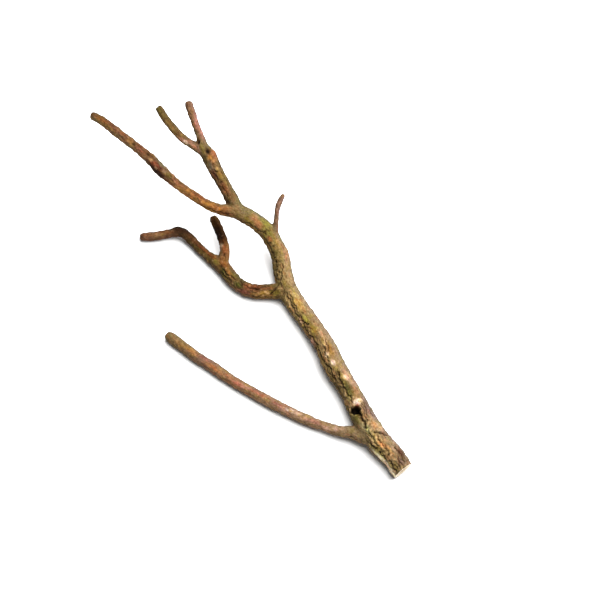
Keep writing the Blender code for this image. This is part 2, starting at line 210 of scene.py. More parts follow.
# Lower limb
# A long straight shoot that leaves the stem near the butt and lies flat. Its
# skin is smooth, reddish brown with pink, scaly specks, and olive at the tip.
limbs["lower_limb"] = dict(knobbly=0.28, rugged=(0.36, 0.2), stations=[
    (130, -158.3, 13.8, 9.2), (114, -152.7, 11.8, 7.5), (100.8, -150.9, 10.4, 6.1), (84, -145, 9, 5.4),
    (65, -138, 8.2, 5.8), (28.2, -119.6, 7.6, 6.2), (-17.2, -93.2, 7.4, 5.9), (-38.4, -78, 7.3, 6.2),
    (-58.8, -64.8, 6.9, 6.2), (-74.3, -53, 6.6, 6.3), (-91, -39.8, 6.2, 6.1), (-95.2, -36.2, 6, 3.4)
], tones=[
    (20, "#a08b70", "#99856b", "#948576"), (50, "#a0846b", "#9c806b", "#8f817a"),
    (100, "#ac9078", "#9f8372", "#82736a"), (160, "#9d7d61", "#a07f61", "#78685e"),
    (205, "#947764", "#8d7163", "#796961"), (240, "#90785c", "#8d7454", "#776b5c"),
    (256, "#8a7b59", "#7d6e4c", "#716b5a")
], patches=[
    (156, -11, 9, 2.2, "#c4897d", 0.85), (101, -15, 6, 2.5, "#ca9a8f", 0.8), (89, 7, 3, 2, "#e2c6c3", 0.9),
    (81, 10, 3, 2, "#e0bebb", 0.9), (94, -4, 2, 1.4, "#e3cecf", 0.8), (46, -36, 4, 2, "#f8cdbf", 0.85),
    (36, -8, 3, 2, "#e3c0b7", 0.9), (28, 12, 4, 2, "#c7a89a", 0.7), (60, -4, 8, 2.4, "#a7776e", 0.7),
    (72, -14, 4, 2, "#cda193", 0.7), (111, 1, 10, 3, "#946863", 0.7), (119, -8, 5, 2.5, "#908251", 0.7),
    (132, 2, 7, 2, "#ad7761", 0.7), (145, 12, 4, 1.6, "#c39589", 0.7), (170, 0, 5, 1.8, "#b88265", 0.7),
    (205, 21, 9, 3, "#8b6560", 0.7), (222, 2, 9, 2.5, "#ad7a4c", 0.75),
    (190, -16, 12, 2.5, "#b98453", 0.7), (238, -16, 6, 2, "#a27c4f", 0.7), (68, 64, 4, 3, "#706058", 0.7),
    (135, 24, 8, 2.2, "#7f625d", 0.6), (24, 10, 8, 4, "#958466", 0.5)
], cracks=[(0.7, 0.8, [(8, -70), (14, -58), (22, -62)])], pits=[
    (185, -68, 2.5, 0.9), (94, 20, 1.2, 0.6), (62, -20, 1.2, 0.5)
], bumps=[
    (68, 50, 6, 5, 0.9), (185, -60, 6, 5, 0.7), (120, 0, 7, 6, 0.5), (222, 40, 5, 4, 0.5),
    (244, -10, 7, 6, 0.4)
])

# Middle limb
# Crooked wood that leaves the stem halfway up, forks, and ends in a blunt
# elbow. Its bark is dark reddish brown with greenish, rough stretches.
limbs["middle_limb"] = dict(knobbly=0.42, rugged=(0.75, 0.3), stations=[
    (41, 13, 12.4, 9.4), (20, 14, 11, 8.4), (5.1, 14.4, 9.8, 8.2), (-8.2, 18.7, 9.2, 7.7),
    (-21.2, 29.8, 8.8, 7.9), (-34.6, 46.4, 9, 8.4), (-49.8, 58.2, 8, 5.8), (-62.7, 70.3, 8, 5.4),
    (-73.8, 82.2, 9, 5.6), (-83.1, 87.6, 9.6, 5.6), (-97, 86.7, 7.8, 5), (-112.1, 84.3, 6, 5.1),
    (-125.6, 83.8, 5.1, 4.9), (-130.3, 84.4, 4.9, 3)
], tones=[
    (10, "#816a46", "#6a5a38", "#635741"), (28, "#a17f50", "#6c5338", "#68573e"),
    (50, "#906f5b", "#70563e", "#715944"), (75, "#6c6141", "#6c5636", "#7f644b"),
    (95, "#6b5839", "#68512f", "#7f6349"), (125, "#684e32", "#61452c", "#715944"),
    (150, "#5b412a", "#503927", "#3e2f23"), (165, "#7a5a45", "#6c4e38", "#635147"),
    (190, "#8c6a58", "#775742", "#7f6d69")
], patches=[
    (26, -40, 10, 2.5, "#c39a54", 0.45), (13, -39, 5, 3, "#9e8b46", 0.7), (22, 6, 7, 2.6, "#8a5b3a", 0.7),
    (36, 20, 6, 2.6, "#824a2e", 0.75), (45, 5, 6, 3, "#915035", 0.85), (48, -46, 7, 3, "#b06b5f", 0.8),
    (55, -23, 6, 3.5, "#555926", 0.85), (80, -33, 6, 3.5, "#565827", 0.85),
    (71, 2, 7, 2.2, "#9a6b35", 0.8), (93, -16, 5, 3, "#7d7630", 0.85), (86, 20, 6, 3, "#94592e", 0.85),
    (68, 16, 5, 2.5, "#5d5829", 0.7), (104, 8, 8, 2.4, "#8e5a2e", 0.75), (116, 14, 8, 2, "#804828", 0.7),
    (112, -16, 9, 2, "#6e5f30", 0.6), (156, 48, 7, 4, "#150d06", 0.9), (147, 26, 6, 3, "#2c1c10", 0.6),
    (120, -40, 20, 2.5, "#6e5e2f", 0.6), (134, 4, 8, 2, "#754c2d", 0.6),
    (172, -10, 8, 2.6, "#9c7850", 0.6), (184, -4, 8, 3.5, "#a08060", 0.6), (60, 44, 14, 3, "#494c28", 0.7)
], cracks=[
    (1.7, 2.0, [(9, 40), (12, 12), (14, -20), (18, -50)]),
    (1.0, 1.6, [(20, 26), (27, 18), (34, -2), (42, 2), (49, 8), (56, 18)]),
    (1.0, 1.6, [(62, 4), (70, -12), (76, -26), (84, -20), (90, -10)]),
    (0.8, 1.1, [(64, -30), (72, -38), (80, -52)]),
    (0.7, 0.9, [(100, 5), (112, -6), (126, -10), (140, -2)]), (0.7, 0.9, [(150, -16), (156, 0), (158, 22)])
], pits=[
    (86, -27, 3.2, 2.4), (35, -3, 2.4, 1.4), (41, 8, 1.8, 1.2), (75, -26, 2.0, 1.2), (52, -8, 1.8, 1.2),
    (162, 34, 2.2, 1.0), (56, 30, 2.0, 1.2), (96, 4, 1.6, 0.8), (108, -8, 1.4, 0.7)
], bumps=[
    (157, 36, 5, 4, 1.6), (71, 4, 7, 4, 1.0), (92, -8, 6, 5, 0.9), (24, -40, 9, 4, 0.9),
    (46, 44, 6, 4, 0.7), (62, -56, 6, 4, 0.6), (128, 40, 5, 4, 0.5), (176, 20, 6, 4, 0.4)
])

# Middle twig
# The stub that forks from the middle limb. Along its middle it is painted nearly
# black: painted shadow of the stem's upper part above it.
limbs["middle_twig"] = dict(knobbly=0.35, rugged=(0.5, 0.4), stations=[
    (-35, 46, 9.6, 7.4), (-30.8, 59, 13, 6.2), (-31.5, 70.1, 16, 5.5), (-36.4, 83.2, 20, 5.4),
    (-40.5, 92.2, 23, 5.3), (-43.6, 98, 24.9, 5.1), (-45.2, 101, 25.9, 2.9)
], tones=[
    (8, "#7a6448", "#86603a", "#a67c58"), (20, "#947c64", "#8c6038", "#a87a54"),
    # The near-black colours from about 30 to 50 mm are painted shadow.
    (28, "#6c4c34", "#5c3a18", "#7c5834"), (34, "#2a1808", "#1c0e02", "#583a20"),
    (45, "#2e1c0c", "#2a1604", "#6e4a2c"), (56, "#54381c", "#5c3e1c", "#84623c")
], patches=[
    (24, -30, 2.4, 2, "#beb4a0", 0.8), (16, 23, 6, 2.5, "#90633d", 0.6)
], cracks=[
    (0.8, 1.2, [(26, -10), (36, -4), (48, -8)]), (0.8, 1.0, [(6, 40), (12, 20), (14, 0)])
], pits=[(27, -24, 1.6, 0.9), (40, 30, 1.6, 0.8)], bumps=[(24, -20, 4, 3, 0.6)])

# Left limb
# The longer arm of the upper fork, raised off the ground. It is orange brown,
# with a dark swollen knob halfway, and its lower edge is painted dark: painted shade.
limbs["left_limb"] = dict(knobbly=0.42, rugged=(0.42, 0.32), stations=[
    (-9.2, 96.3, 47, 7.9), (-28.4, 95.6, 54, 6.9), (-46.9, 100, 59, 5.6), (-65.5, 110.2, 64, 5.4),
    (-83.7, 122.1, 69, 5.5), (-100, 134.8, 74, 6.6), (-109.7, 145.2, 77, 6.5), (-126, 158.8, 82, 5.6),
    (-147.7, 174.1, 88, 5.5), (-166.5, 188.2, 93, 5.2), (-177.3, 193.8, 95.6, 4.9),
    (-180.7, 195.4, 96.2, 2.9)
], tones=[
    (15, "#9b7b52", "#735841", "#8a836c"), (35, "#ab7d47", "#7c5838", "#7d725c"),
    (60, "#a97d4c", "#7d583a", "#756a57"), (85, "#a9805d", "#79553d", "#766a57"),
    (100, "#87664c", "#644938", "#7d725c"), (112, "#684c3f", "#603c30", "#7e6e60"),
    (130, "#8f7357", "#6c4c33", "#736452"), (160, "#988062", "#6c4d3a", "#675c4e"),
    (190, "#967b57", "#6a4a32", "#6c5b49"), (212, "#897b5d", "#604c30", "#6e6249")
], patches=[
    (84, -20, 6, 2.4, "#9a645a", 0.7), (96, -3, 4, 2.5, "#74693b", 0.7), (103, -14, 3, 2, "#a1866e", 0.7),
    (123, -28, 2.4, 1.6, "#ebc398", 0.8), (111, -38, 6, 3.4, "#5a3020", 0.9),
    # Painted shade: the dark patches low on its left, at -60 to -66 degrees.
    (118, -43, 5, 3, "#8c5038", 0.85), (106, -60, 8, 3, "#4b2a23", 0.85), (113, 30, 8, 3, "#636d56", 0.6),
    (142, -31, 6, 2.4, "#9b5c4f", 0.45), (155, -22, 4.5, 2.2, "#b88848", 0.55),
    (176, -15, 6, 2.4, "#855b4d", 0.7), (196, -20, 8, 2.2, "#966036", 0.7), (168, 6, 5, 2, "#865938", 0.6),
    (45, -12, 10, 2.2, "#ae7947", 0.8), (66, -16, 8, 2, "#b17b4b", 0.8), (56, 10, 9, 2, "#7c4e32", 0.6),
    (22, 0, 5, 2.5, "#9d7047", 0.8), (30, -30, 8, 2.4, "#a96b38", 0.7), (19, -62, 9, 2.5, "#6e3e23", 0.8),
    (110, -66, 14, 3, "#332419", 0.9), (212, 0, 3, 6, "#5b5249", 0.5)
], cracks=[
    (0.8, 1.0, [(12, -50), (19, -58), (30, -64), (44, -68)]), (0.6, 0.6, [(40, 4), (52, 8), (66, 4)])
], pits=[
    (130, -5, 4.2, 1.2), (150, -16, 3.8, 1.1), (125, 6, 1.8, 0.9), (59, -6, 1.3, 0.7),
    (108, -24, 2.2, 1.1), (30, 8, 1.4, 0.7), (72, -30, 1.3, 0.6), (90, -34, 1.5, 0.7),
    (165, -34, 1.5, 0.7), (182, 6, 1.3, 0.6)
], bumps=[
    (112, -46, 7, 5, 1.5), (104, 40, 5, 4, 0.8), (126, 24, 6, 5, 0.8), (135, -60, 5, 4, 0.7),
    (156, 30, 6, 4, 0.6), (176, 30, 7, 5, 0.6), (186, -50, 6, 4, 0.5), (94, 30, 5, 4, 0.6),
    (80, -60, 6, 4, 0.6), (60, 50, 6, 4, 0.5), (44, -60, 6, 4, 0.5)
])

# Right limb
# The steeper arm of the upper fork, raised highest. It is olive with orange
# scars up to the twig, and ends in a thinner, pinkish grey shoot.
limbs["right_limb"] = dict(knobbly=0.35, rugged=(0.5, 0.26), stations=[
    (-15.4, 96, 48, 8.7), (-22.2, 109.9, 58, 8), (-31.1, 123.4, 67, 7.3), (-39.5, 136.7, 75, 8),
    (-46.3, 149.4, 82, 8.5), (-53.5, 158.7, 87, 7.2), (-56.3, 169.2, 92, 5), (-61.3, 181, 98, 4.4),
    (-66.3, 195, 104, 4.8), (-69.4, 203.4, 107, 4.6), (-70.4, 206, 107.6, 2.7)
], tones=[
    (12, "#817053", "#8f7857", "#5f604c"), (30, "#705a40", "#836146", "#5b5b48"),
    (50, "#726044", "#836843", "#5a5844"), (68, "#796b50", "#836748", "#5b4e44"),
    (84, "#817457", "#83714f", "#5e5c4c"), (100, "#897d5e", "#8d6e51", "#7c6d74"),
    (118, "#917d61", "#916c53", "#816e7a"), (136, "#8b7d6c", "#836551", "#6d6467")
], patches=[
    (70, -7, 2.4, 2, "#e4a360", 0.75), (65, 8, 2.2, 2, "#dda474", 0.6), (71, 26, 6, 4.5, "#a06446", 0.6),
    (55, 4, 2.2, 1.5, "#dfb986", 0.8), (48, 10, 3, 2, "#bd8753", 0.45), (40, 8, 9, 3, "#85783a", 0.5),
    (59, -30, 6, 2.6, "#75766a", 0.6), (32, -12, 8, 3, "#975947", 0.7), (20, 6, 6, 3, "#935d41", 0.6),
    (84, -62, 4, 3, "#ebbda6", 0.85), (86, 0, 6, 5, "#766a48", 0.6), (50, -34, 6, 2.5, "#764a3f", 0.7),
    (108, 25, 14, 2.6, "#ae7a7f", 0.8), (122, -20, 8, 2.4, "#937356", 0.6), (133, 5, 3, 4, "#826153", 0.6),
    (14, -52, 5, 4, "#2e261a", 0.7), (20, 20, 8, 4, "#767149", 0.5)
], cracks=[
    (0.8, 1.0, [(22, -20), (32, -26), (44, -30), (56, -34)]), (0.7, 0.9, [(52, 12), (53, -9), (56, -16)]),
    (0.7, 0.8, [(24, 24), (36, 30), (50, 28)])
], pits=[
    (76.8, 8, 5, 3.2), (90, -50, 3.6, 2.4), (53, -9, 1.8, 1.0), (40, -14, 1.6, 0.9), (62, -2, 1.4, 0.7),
    (30, 4, 1.4, 0.7)
], bumps=[
    (73, 46, 5, 4, 1.7), (53, 30, 6, 4, 0.6), (40, 48, 7, 5, 0.7), (58, -60, 6, 4, 0.6),
    (84, -40, 4, 4, 0.7), (28, -50, 6, 4, 0.5), (112, -30, 6, 4, 0.4), (128, 30, 5, 4, 0.3)
])

# Right limb's twig
# A thin shoot near the top, with bark peeled to pink at its base.
limbs["right_limb_twig"] = dict(knobbly=0.22, rugged=(0.3, 0.26), stations=[
    (-50, 154, 84, 6.4), (-64, 161.9, 85.5, 5.3), (-76.1, 169.7, 87.5, 4.9), (-87, 180.9, 89.5, 4.8),
    (-96.4, 192.7, 92, 4.6), (-103.2, 203.2, 94.4, 4.5), (-105.1, 206, 95, 2.8)
], tones=[
    (10, "#7d6c43", "#745e43", "#6b5b4f"), (24, "#9f8365", "#80664f", "#706156"),
    (36, "#987c5e", "#6a5536", "#6f6151"), (58, "#9a7c5e", "#655530", "#635d49"),
    (76, "#86774d", "#5b4f2a", "#6b6351")
], patches=[
    (25.5, -38, 3.4, 1.8, "#ffe4d8", 1.05), (17, -9, 5.5, 2.2, "#bb9381", 0.95),
    (12, -30, 5, 2, "#c7957b", 0.85), (31, -40, 3, 1.8, "#d29885", 0.7), (36, -12, 5, 2, "#6d4835", 0.5),
    (34, 4, 1.6, 1.4, "#9f8353", 0.7), (50, -30, 8, 2, "#987e45", 0.6)
], cracks=[(0.6, 0.7, [(10, -10), (18, -4), (27, -14)])],
    pits=[(-2.7, 6, 5, 3.2), (12.5, 35, 3.2, 2.2), (52, 10, 1.2, 0.4)],
    bumps=[(34, 10, 5, 4, 0.4), (56, -30, 5, 4, 0.4)])

# Spur twig
# A thin, kinked shoot that stands up from the stem below the upper fork.
limbs["spur_twig"] = dict(knobbly=0.2, rugged=(0.2, 0.2), stations=[
    (25, 70, 29, 6.4), (27.6, 79, 36, 4.3), (29, 90, 43, 3.2), (30, 98, 48, 3.1), (31.2, 103.2, 50.4, 3.5),
    (34, 109.2, 53.6, 3.2), (36.2, 112.8, 55.6, 3.1), (37.5, 115, 56.8, 1.7)
], tones=[
    (10, "#817a56", "#877559", "#877062"), (22, "#85705a", "#8d705f", "#886e64"),
    (40, "#8c7263", "#8e7061", "#9a7f86"), (54, "#7d685a", "#8e6e61", "#977982")
], patches=[
    (44, 20, 3, 1.4, "#a8847d", 0.7), (36, -10, 1.2, 1.0, "#b39484", 0.6)
], cracks=[], pits=[], bumps=[(41, -20, 2.6, 2.6, 0.4), (47, 10, 2.6, 2.6, 0.3)])


# The wood under the bark
# One smooth skin round every limb, rounded where they fork, as growing wood
# fills a fork in. Geometry Nodes sweep a round section along each limb.
ROUTE_STEP = 1.0
ROUND_SIDES = 30
SKIN_CELL = 0.68
FORK_REACH = 13.0
FORK_FILL = 1.6
SKIN_EASE = 5
FORK_EASE = 38

# Where each limb is parted from what it grows on, along it from its root.
PARTING = {"left_limb": 27, "right_limb": 24, "right_limb_twig": 26, "middle_limb": 20,
           "middle_twig": 18, "lower_limb": 25, "spur_twig": 20}


def smooth_route(stations):
    """Points on a smooth curve through the stations: x, y, z and radius."""
    points = np.array(stations, float)
    points = np.vstack([2 * points[0] - points[1], points, 2 * points[-1] - points[-2]])
    route = []
    for before, start, end, after in zip(points, points[1:], points[2:], points[3:]):
        steps = max(2, round(np.linalg.norm((end - start)[:3]) / ROUTE_STEP))
        t = np.linspace(0, 1, steps, endpoint=False)[:, None]
        bend = 2 * before - 5 * start + 4 * end - after
        twist = 3 * start - before - 3 * end + after
        route.append(start + ((end - before) * t + bend * t ** 2 + twist * t ** 3) / 2)
    route.append(points[-2:-1])
    return np.vstack(route)


def plain_mesh(thing):
    """A new mesh of an object with its modifiers applied. The object is removed."""
    graph = bpy.context.evaluated_depsgraph_get()
    mesh = bpy.data.meshes.new_from_object(thing.evaluated_get(graph))
    bpy.data.objects.remove(thing)
    return mesh


def points_of(mesh):
    """A mesh's points, as rows of x, y and z in metres."""
    values = np.zeros(len(mesh.vertices) * 3)
    mesh.vertices.foreach_get("co", values)
    return values.reshape(-1, 3)


def add(tree, kind, inputs=(), **settings):
    """A new node. Its inputs are given by name or number, or as a row in the
    node's own order. Each is a value, an output, or a node for its first output."""
    node = tree.nodes.new(kind)
    for name, value in settings.items():
        setattr(node, name, value)
    for name, value in inputs.items() if isinstance(inputs, dict) else enumerate(inputs):
        if isinstance(value, bpy.types.Node):
            value = value.outputs[0]
        if isinstance(value, bpy.types.NodeSocket):
            tree.links.new(value, node.inputs[name])
        else:
            node.inputs[name].default_value = value
    return node


def group(name, *sockets):
    """A Geometry Nodes tree, and the identifiers of its sockets by name. Each
    socket is given as in or out, its name, its kind, and what it starts at."""
    tree = bpy.data.node_groups.new(name, "GeometryNodeTree")
    found = {}
    for side, label, kind, *start in sockets:
        socket = tree.interface.new_socket(label, in_out=side, socket_type="NodeSocket" + kind)
        if start:
            socket.default_value = start[0]
        found[label] = socket.identifier
    return tree, found


for limb in limbs.values():
    limb["route"] = smooth_route(limb["stations"])
    middle = limb["route"][:, :3]
    limb["along"] = np.append(0, np.cumsum(np.linalg.norm(np.diff(middle, axis=0), axis=1)))
    ways = np.gradient(middle, axis=0)
    ways /= np.linalg.norm(ways, axis=1)[:, None]
    top = np.array((0.0, 0.0, 1.0))
    tops = []
    for way in ways:
        top = top - way * (top @ way)
        top /= np.linalg.norm(top)
        tops.append(top)
    limb["ways"], limb["tops"] = ways, np.array(tops)
    limb["sides"] = np.cross(ways, limb["tops"])

lines = bpy.data.curves.new("limb_lines", "CURVE")
lines.dimensions = "3D"
for limb in limbs.values():
    line = lines.splines.new("POLY")
    line.points.add(len(limb["route"]) - 1)
    for point, (x, y, z, girth) in zip(line.points, limb["route"]):
        point.co = (x * MM, y * MM, z * MM, 1)
        point.radius = girth

sweep, sockets = group("Round_limbs", ("INPUT", "Geometry", "Geometry"),
                       ("INPUT", "Sides", "Int", ROUND_SIDES), ("OUTPUT", "Geometry", "Geometry"))
given = add(sweep, "NodeGroupInput").outputs
section = add(sweep, "GeometryNodeCurvePrimitiveCircle", {"Resolution": given["Sides"], "Radius": MM})
tubes = add(sweep, "GeometryNodeCurveToMesh", {
    "Curve": given["Geometry"], "Profile Curve": section,
    "Scale": add(sweep, "GeometryNodeInputRadius"), "Fill Caps": True})
whole = add(sweep, "GeometryNodeRealizeInstances", (tubes,))
painted = add(sweep, "GeometryNodeSetMaterial", (whole,))
add(sweep, "NodeGroupOutput", (painted,))

wood = put("limb_lines", lines)
swept = wood.modifiers.new("swept", "NODES")
swept.node_group = sweep
swept[sockets["Sides"]] = ROUND_SIDES
wood = put("wood", plain_mesh(wood))
fused = wood.modifiers.new("fused", "REMESH")
fused.mode = "VOXEL"
fused.voxel_size = SKIN_CELL * MM
skin = plain_mesh(wood)

spots = points_of(skin) / MM
edges = np.zeros(len(skin.edges) * 2, int)
skin.edges.foreach_get("vertices", edges)
edges = edges.reshape(-1, 2)
ends = np.concatenate([edges[:, 0], edges[:, 1]])
others = np.concatenate([edges[:, 1], edges[:, 0]])
count = np.bincount(ends, minlength=len(spots))[:, None]


def eased(values, amount, times):
    """Point values, each drawn towards the mean of its neighbours."""
    for _ in range(times):
        total = np.stack([np.bincount(ends, column[others], len(values))
                          for column in values.T], axis=1)
        values = values + amount * (total / count - values)
    return values


def place(limb, distance):
    """The point, the radius and the way on at a distance along a limb."""
    i = int(np.searchsorted(limb["along"], distance))
    return limb["route"][i, :3], limb["route"][i, 3], limb["ways"][i]


nearness = np.zeros(len(spots))
for name, distance in PARTING.items():
    fork = place(limbs[name], distance / 2)[0]
    apart = np.linalg.norm(spots - fork, axis=1)
    nearness = np.maximum(nearness, np.clip(FORK_FILL - apart / FORK_REACH, 0, 1))
spots = eased(spots, 0.5, SKIN_EASE)
spots = eased(spots, 0.5 * nearness[:, None], FORK_EASE)


# Where each point of the skin is on its limb
# Bark follows the limb it grows on, so each point gets its place along and
# round the two limbs nearest to it, and how far it belongs to the second.
BLEND = 0.5
FAR = 99.0
MARGIN = 30
BATCH = 20000

reach = np.full((len(limbs), len(spots)), FAR)
along, turn = np.zeros((2, len(limbs), len(spots)))
girth = np.ones((len(limbs), len(spots)))
for k, limb in enumerate(limbs.values()):
    middle = limb["route"][:, :3]
    low, high = middle.min(0) - MARGIN, middle.max(0) + MARGIN
    near = np.flatnonzero(((spots > low) & (spots < high)).all(1))
    for part in np.array_split(near, 1 + len(near) // BATCH):
        point = spots[part]
        apart = (middle ** 2).sum(1)[None] - 2 * point @ middle.T
        i = apart.argmin(1)
        out = point - middle[i]
        girth[k, part] = limb["route"][i, 3]
        reach[k, part] = np.linalg.norm(out, axis=1) / girth[k, part]
        along[k, part] = limb["along"][i] + (out * limb["ways"][i]).sum(1)
        turn[k, part] = np.arctan2((out * limb["sides"][i]).sum(1), (out * limb["tops"][i]).sum(1))
nearest = np.argsort(reach, axis=0)[:2]
points = np.arange(len(spots))
lead = reach[nearest[1], points] - reach[nearest[0], points]
share = np.clip(1 - lead / BLEND, 0, 1)
share = 0.5 * share * share * (3 - 2 * share)


def mixed(values):
    """Values worked out for each limb, shared between the two nearest."""
    first, second = values[nearest[0], points], values[nearest[1], points]
    part = share if first.ndim == 1 else share[:, None]
    return first * (1 - part) + second * part


# The bark's marks and painted shade
# Furrows, pits, knobs and coloured scars that this branch has, each where it
# sits on its limb. The underside is painted a duller, darker brown, and pits,
# cracks and the right side near its edge, which faces the lamp, are darkened:
# all painted shade. Each side's colour also carries painted light and shade.
UNDERSIDE_SHADE = linear("#7a6248")
FLANK_SHADE = (0.62, 0.66, 0.72)
FLANK_SHADE_FROM = 0.74
RUGGED_LEAST = 0.42
TONE_RANGE = (0.004, 2)
PIT_SPREAD = 0.62
SEEN = 3


def turned_from(k, degrees):
    """The angle round limb k from a line along it to each point."""
    return (turn[k] - radians(degrees) + np.pi) % (2 * np.pi) - np.pi


def spread(k, at, degrees, long, wide):
    """How far each point is from a mark on limb k, squared. At its edge it is 1."""
    return ((along[k] - at) / long) ** 2 + (turned_from(k, degrees) * girth[k] / wide) ** 2


def cover(k, *mark):
    """How far a soft-edged mark covers each point, from 0 to 1."""
    return np.exp(-0.7 * spread(k, *mark) ** 1.5)


tone = np.zeros((len(limbs), len(spots), 3))
rise, dark, rugged = np.zeros((3, len(limbs), len(spots)))
for k, limb in enumerate(limbs.values()):
    rugged[k] = np.interp(along[k], (0, limb["along"][-1]), limb["rugged"])
    stops = [stop[0] for stop in limb["tones"]]
    # Painted light and shade: each side of a limb has its own colour, set against how the lamp lights it.
    left, upper, right = [np.stack([
        np.interp(along[k], stops, [linear(stop[column])[channel] for stop in limb["tones"]])
        for channel in range(3)], axis=1) for column in (1, 2, 3)]
    across = np.sin(turn[k])[:, None]
    below = np.clip(-np.cos(turn[k]) - 0.1, 0, 1)[:, None]
    tone[k] = upper + (left - upper) * np.clip(-across, 0, 1) ** 1.5
    tone[k] += (right - upper) * np.clip(across, 0, 1) ** 1.5
    # Painted shade: the underside is drawn towards a duller, darker brown.
    tone[k] += (UNDERSIDE_SHADE - tone[k]) * 0.8 * below
    rugged[k] *= np.clip(0.62 - 0.6 * across[:, 0] + 0.8 * below[:, 0], RUGGED_LEAST, 1.0)
    rise[k] = limb["knobbly"] / 3 * (
        np.sin(0.62 * along[k] + 2 * turn[k] + k) + np.sin(0.91 * along[k] - turn[k])
        + np.sin(0.37 * along[k] - 2 * turn[k] + 2 * k))
    seen = reach[k] < SEEN
    for at, degrees, long, wide, calm in limb.get("smooth", ()):
        rugged[k] *= 1 - calm * cover(k, at, degrees, long, wide)
    for at, degrees, long, wide, code, strength in limb["patches"]:
        drawn = strength * cover(k, at, degrees, long, wide) * seen
        tone[k] += (linear(code) - tone[k]) * drawn[:, None]
    tone[k] = np.clip(tone[k], *TONE_RANGE)
    # Painted shade: the right side, which faces the lamp, is darkened towards its edge.
    flank_shade = np.clip((np.abs(across) - FLANK_SHADE_FROM) / (1 - FLANK_SHADE_FROM), 0, 1) ** 1.5 * (across > -0.2)
    tone[k] *= 1 + (np.array(FLANK_SHADE) - 1) * flank_shade
    for at, degrees, wide, deep in limb["pits"]:
        hollow = np.exp(-spread(k, at, degrees, PIT_SPREAD * wide, PIT_SPREAD * wide)) * seen
        rise[k] -= deep * hollow
        # Painted shade: the deeper a pit is, the darker it is painted.
        dark[k] = np.maximum(dark[k], np.minimum(1.25 * hollow, 0.97) * min(1, 0.45 + 0.25 * deep))
    for at, degrees, long, wide, height in limb["bumps"]:
        rise[k] += height * np.exp(-spread(k, at, degrees, long, wide)) * seen
    for wide, deep, path in limb["cracks"]:
        gap = np.full(len(spots), FAR)
        for (at, degrees), (to, degrees_to) in zip(path, path[1:]):
            # A crack wavers by up to a millimetre.
            away = turned_from(k, degrees)
            away += (0.7 * np.sin(0.61 * along[k] + wide) + 0.4 * np.sin(1.7 * along[k])) / girth[k]
            step = np.stack([np.full(len(spots), to - at), girth[k] * radians(degrees_to - degrees)])
            here = np.stack([along[k] - at, away * girth[k]])
            t = np.clip((here * step).sum(0) / (step ** 2).sum(0), 0, 1)
            gap = np.minimum(gap, np.linalg.norm(here - t * step, axis=0))
        slit = np.clip(1.1 - gap / wide, 0, 1) * seen
        rise[k] -= deep * slit
        # Painted shade darkens each hollow crack.
        dark[k] = np.maximum(dark[k], 0.85 * slit * (deep > 0))

# The knot hole
# A dead twig rotted out of the top of the stem and left a steep hollow,
# wider across than along, with a raised lip on its upper side. Its inside is
# painted near black: painted shade in the hollow.
KNOT_HOLE_AT = (117.5, -131.5)
KNOT_HOLE_HALF = (5.4, 4.2)
KNOT_HOLE_TURN = -0.45
KNOT_HOLE_DEEP = 8.5
KNOT_HOLE_ABOVE = 16
KNOT_HOLE_SHADE = linear("#0e0704")
LIP_AT = 1.25
LIP_WIDE = 0.3
LIP_HIGH = 0.8

where = spots[:, :2] - KNOT_HOLE_AT
turned = np.array([(np.cos(KNOT_HOLE_TURN), -np.sin(KNOT_HOLE_TURN)),
                   (np.sin(KNOT_HOLE_TURN), np.cos(KNOT_HOLE_TURN))])
where = where @ turned / KNOT_HOLE_HALF
# Its rim is a little uneven.
where += 0.12 * np.sin(5.1 * where[:, ::-1])
rim = np.linalg.norm(where, axis=1)
on_top = spots[:, 2] > KNOT_HOLE_ABOVE
knot = np.clip((1.12 - rim) / 0.4, 0, 1) * on_top
knot = knot * knot * (3 - 2 * knot)
lip = np.exp(-((rim - LIP_AT) / LIP_WIDE) ** 2) * on_top

# The marks on the skin
# Each point of the skin keeps its colour, its rise and its place in the grain
# as attributes, which the relief and the bark below read.
DULLED = (0.385, 0.355, 0.295)
LIMB_APART = (61, 37)
KINDS = {1: ("FLOAT", "value"), 3: ("FLOAT_VECTOR", "vector"), 4: ("FLOAT_COLOR", "color")}

tone = mixed(tone) * DULLED
# Painted shade: the knot hole is drawn to near black.
tone += (KNOT_HOLE_SHADE - tone) * knot[:, None]
rise = mixed(rise) + LIP_HIGH * lip
dark = np.clip(np.maximum(mixed(dark), knot), 0, 1)
rugged = mixed(rugged)
grain = []
for chosen in nearest:
    g, s, a = girth[chosen, points], turn[chosen, points], along[chosen, points]
    # Each limb has a stretch of the grain's pattern to itself.
    off = np.outer(LIMB_APART, chosen)
    grain.append(np.stack([g * np.sin(s) + off[0], g * np.cos(s) + off[1], a], axis=1))

skin.vertices.foreach_set("co", np.ascontiguousarray(spots * MM, np.float32).ravel())
skin.update()
for name, values in (
        ("grain_a", grain[0]), ("grain_b", grain[1]), ("share", share), ("rise", rise), ("knot", knot),
        ("dark", dark), ("rugged", rugged), ("tone", np.hstack([tone, np.ones((len(tone), 1))]))):
    kind, key = KINDS[values.size // len(spots)]
    field = skin.attributes.new(name, kind, "POINT")
    field.data.foreach_set(key, np.ascontiguousarray(values, np.float32).ravel())


# The bark's relief
# As the stem thickens its bark splits into long, winding furrows between
# flowing ridges, on broad lumps, with fine wrinkles along the grain.
BARK_SIZES = {"Furrow Width": 6.6, "Furrow Length": 18.0, "Furrow Depth": 1.5, "Lump Size": 15.0,
              "Lump Height": 2.0, "Ridge Depth": 0.7, "Wrinkle Depth": 0.8, "Stray": 19.0}
DRIFT_SIZE = 19
BREAK_SIZE = 13
FOLD_HEIGHT = 5.0
RIDGE_SIZE = (3.1, 10.0)
WRINKLE_SIZE = (1.7, 1.7, 5.5)


def maths(tree, operation, *values):
    """A new node that works out a number from numbers."""
    return add(tree, "ShaderNodeMath", values, operation=operation)


